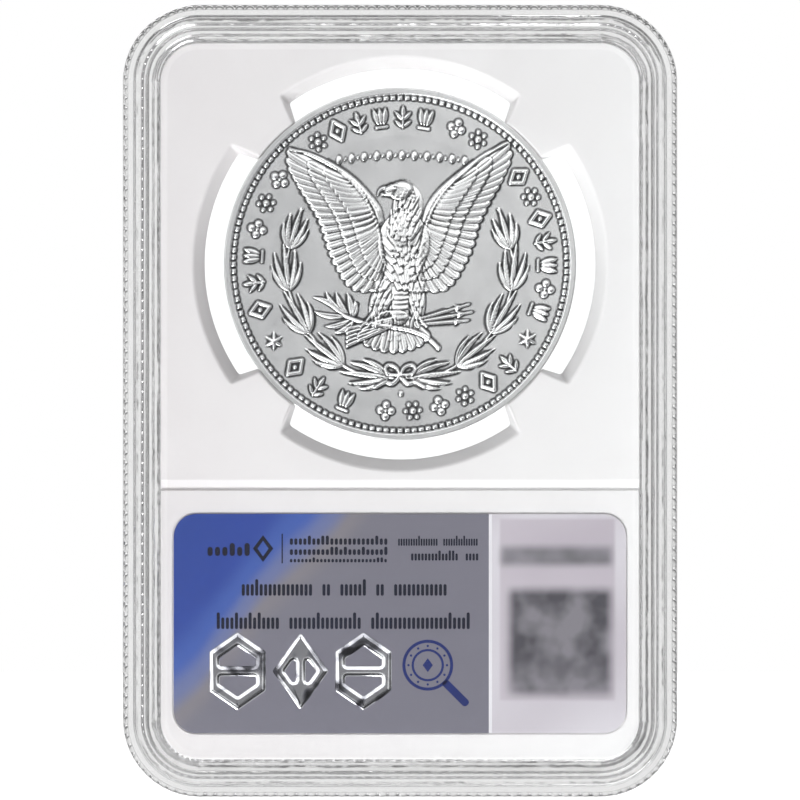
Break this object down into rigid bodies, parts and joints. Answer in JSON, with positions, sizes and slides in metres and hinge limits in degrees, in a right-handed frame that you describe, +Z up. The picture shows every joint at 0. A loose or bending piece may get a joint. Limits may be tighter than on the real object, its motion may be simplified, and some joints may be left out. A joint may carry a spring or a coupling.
{
  "type": "graded coin slab",
  "caption": "Flat sealed clear plastic coin holder: a white pronged insert grips a large silver coin above a printed card label, with a raised stacking rim round both faces.",
  "frame": {"origin": "middle of the label-end edge that the holder stands on, half way between its faces", "axes": "+X to the right seen from the back, +Y out of the front face, +Z up from the label end to the coin end; the back face, with the printed back label, faces -Y"},
  "size_m": [0.06, 0.008, 0.0857],
  "materials": {
    "clear_shell": "clear polished polystyrene, glossy",
    "white_insert": "smooth white moulded plastic, soft satin",
    "silver_coin": "struck silver, satin fields and bright raised edges",
    "front_card": "printed coated card",
    "back_card": "printed coated card, blue fading to grey with a pale lavender panel",
    "mirror_foil": "hot-stamped mirror foil"
  },
  "bodies": {
    "root": {"front_shell": "clear_shell", "back_shell": "clear_shell", "coin_insert": "white_insert", "coin": "silver_coin", "front_label": "front_card", "back_label": "back_card", "back_foil_left": "mirror_foil", "back_foil_middle": "mirror_foil", "back_foil_right": "mirror_foil", "front_foil_badge": "mirror_foil"}
  },
  "joints": []
}
